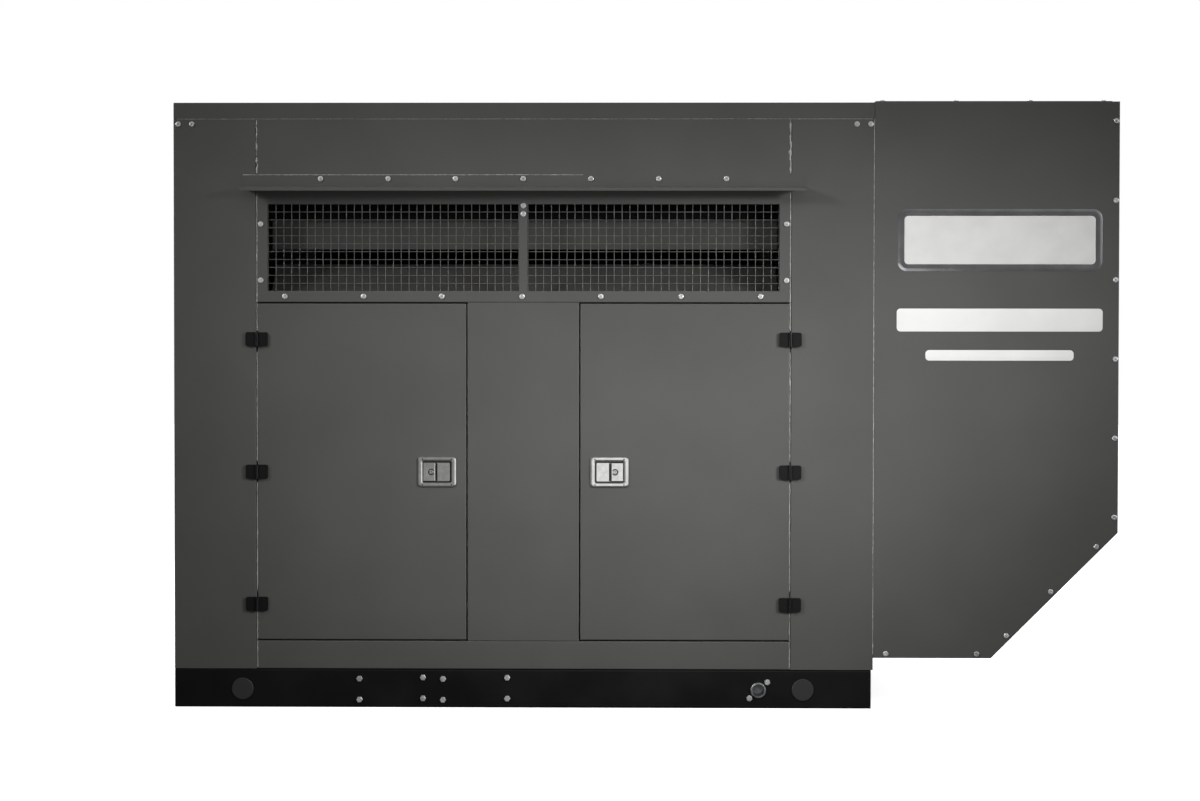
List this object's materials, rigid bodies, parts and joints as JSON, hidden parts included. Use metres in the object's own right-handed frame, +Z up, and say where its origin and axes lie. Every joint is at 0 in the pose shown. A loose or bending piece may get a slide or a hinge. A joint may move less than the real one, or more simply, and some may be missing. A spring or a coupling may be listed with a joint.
{
  "type": "standby generator",
  "caption": "Enclosed standby generator set on a channel base, with screened intakes, hinged service doors, paddle latches and a radiator discharge hood.",
  "frame": {"origin": "middle of the whole footprint, on the ground", "axes": "+X along the enclosure towards the discharge hood, -Y out of the wall with the two doors, +Z up"},
  "size_m": [3.06, 1.252, 1.9725],
  "materials": {
    "powder_coat": "fine-textured satin",
    "base_paint": "satin black",
    "zinc": "zinc plated",
    "galvanised": "galvanised",
    "hinge_black": "satin black",
    "latch_chrome": "bright",
    "brass": "satin",
    "plug_rubber": "matte",
    "rubber": "matte",
    "badge_metal": "satin",
    "engine_iron": "painted",
    "cast_aluminium": "as cast",
    "exhaust_steel": "aluminised",
    "black_plastic": "matte",
    "fan_plastic": "matte",
    "red_plastic": "gloss",
    "cabinet_paint": "satin",
    "dark_steel": "machined"
  },
  "bodies": {
    "enclosure": {"base_front_rail": "base_paint", "base_rear_rail": "base_paint", "base_end_channels": "base_paint", "base_cross_members": "base_paint", "lifting_hole_plugs": "plug_rubber", "base_bolts": "zinc", "fuel_inlet": "galvanised", "vibration_isolators": "rubber", "front_corner_panels": "powder_coat", "rear_corner_panels": "powder_coat", "left_end_panel": "powder_coat", "radiator_bulkhead": "powder_coat", "front_upper_panel": "powder_coat", "rear_upper_panel": "powder_coat", "sill_panels": "powder_coat", "centre_panels": "powder_coat", "rear_service_panels": "powder_coat", "grille_frames": "powder_coat", "grille_meshes": "galvanised", "rain_lips": "powder_coat", "roof_panel": "powder_coat", "enclosure_screws": "zinc", "door_frames": "powder_coat", "door_seals": "rubber", "intake_baffles": "powder_coat", "hinge_frame_leaves": "hinge_black", "hood_front_panel": "powder_coat", "hood_rear_panel": "powder_coat", "hood_end_panel": "powder_coat", "hood_discharge_grille": "powder_coat", "muffler": "exhaust_steel", "exhaust_pipe": "exhaust_steel", "hood_badge": "badge_metal", "engine_block": "engine_iron", "cylinder_heads": "cast_aluminium", "air_intake": "black_plastic", "drive_belt": "rubber", "radiator": "cast_aluminium", "fan_shroud": "black_plastic", "generator_housing": "engine_iron", "control_box": "cabinet_paint", "battery": "black_plastic", "gas_regulator": "cast_aluminium"},
    "left_door": {"left_door": "powder_coat", "left_door_hinge_leaves": "hinge_black", "left_latch_dish": "latch_chrome"},
    "left_paddle": {"left_latch_paddle": "latch_chrome"},
    "left_lock": {"left_latch_lock": "brass"},
    "left_bolt": {"left_latch_bolt": "zinc"},
    "right_door": {"right_door": "powder_coat", "right_door_hinge_leaves": "hinge_black", "right_latch_dish": "latch_chrome"},
    "right_paddle": {"right_latch_paddle": "latch_chrome"},
    "right_lock": {"right_latch_lock": "brass"},
    "right_bolt": {"right_latch_bolt": "zinc"},
    "rotating_line": {"crankshaft": "dark_steel", "generator_rotor": "dark_steel"},
    "fan": {"fan": "fan_plastic"},
    "stop_button": {"stop_button": "red_plastic"},
    "breaker_toggle": {"breaker_toggle": "black_plastic"}
  },
  "joints": [
    {"name": "left_door_hinge", "type": "hinge", "parent": "enclosure", "child": "left_door", "pos_m": [-1.26, -0.567, 0.768], "axis": [0, 0, -1], "range_deg": [0, 120]},
    {"name": "left_paddle_pivot", "type": "hinge", "parent": "left_door", "child": "left_paddle", "pos_m": [-0.717, -0.559, 0.768], "axis": [0, 0, -1], "range_deg": [0, 40], "stiffness_Nm_per_rad": 0.6, "springref_deg": -11.46},
    {"name": "left_lock_turn", "type": "hinge", "parent": "left_paddle", "child": "left_lock", "pos_m": [-0.693, -0.56, 0.768], "axis": [0, 1, 0], "range_deg": [0, 90]},
    {"name": "left_bolt_slide", "type": "slide", "parent": "left_door", "child": "left_bolt", "axis": [-1, 0, 0], "range_m": [0, 0.012]},
    {"name": "right_door_hinge", "type": "hinge", "parent": "enclosure", "child": "right_door", "pos_m": [0.47, -0.567, 0.768], "axis": [0, 0, 1], "range_deg": [0, 120]},
    {"name": "right_paddle_pivot", "type": "hinge", "parent": "right_door", "child": "right_paddle", "pos_m": [-0.073, -0.559, 0.768], "axis": [0, 0, 1], "range_deg": [0, 40], "stiffness_Nm_per_rad": 0.6, "springref_deg": -11.46},
    {"name": "right_lock_turn", "type": "hinge", "parent": "right_paddle", "child": "right_lock", "pos_m": [-0.097, -0.56, 0.768], "axis": [0, 1, 0], "range_deg": [0, 90]},
    {"name": "right_bolt_slide", "type": "slide", "parent": "right_door", "child": "right_bolt", "axis": [1, 0, 0], "range_m": [0, 0.012]},
    {"name": "crankshaft_spin", "type": "hinge", "parent": "enclosure", "child": "rotating_line", "pos_m": [0, 0, 0.52], "axis": [1, 0, 0], "continuous": true},
    {"name": "fan_spin", "type": "hinge", "parent": "enclosure", "child": "fan", "pos_m": [0.5, 0, 0.8], "axis": [1, 0, 0], "continuous": true},
    {"name": "stop_button_push", "type": "slide", "parent": "enclosure", "child": "stop_button", "axis": [0, 1, 0], "range_m": [0, 0.006]},
    {"name": "breaker_toggle_turn", "type": "hinge", "parent": "enclosure", "child": "breaker_toggle", "pos_m": [-0.73, -0.471, 1], "axis": [1, 0, 0], "range_deg": [0, 50]}
  ],
  "couplings": [
    {"joint": "left_bolt_slide", "follows": "left_paddle_pivot", "m_per_rad": 0.0171},
    {"joint": "right_bolt_slide", "follows": "right_paddle_pivot", "m_per_rad": 0.0171},
    {"joint": "fan_spin", "follows": "crankshaft_spin", "ratio": 1.125}
  ]
}
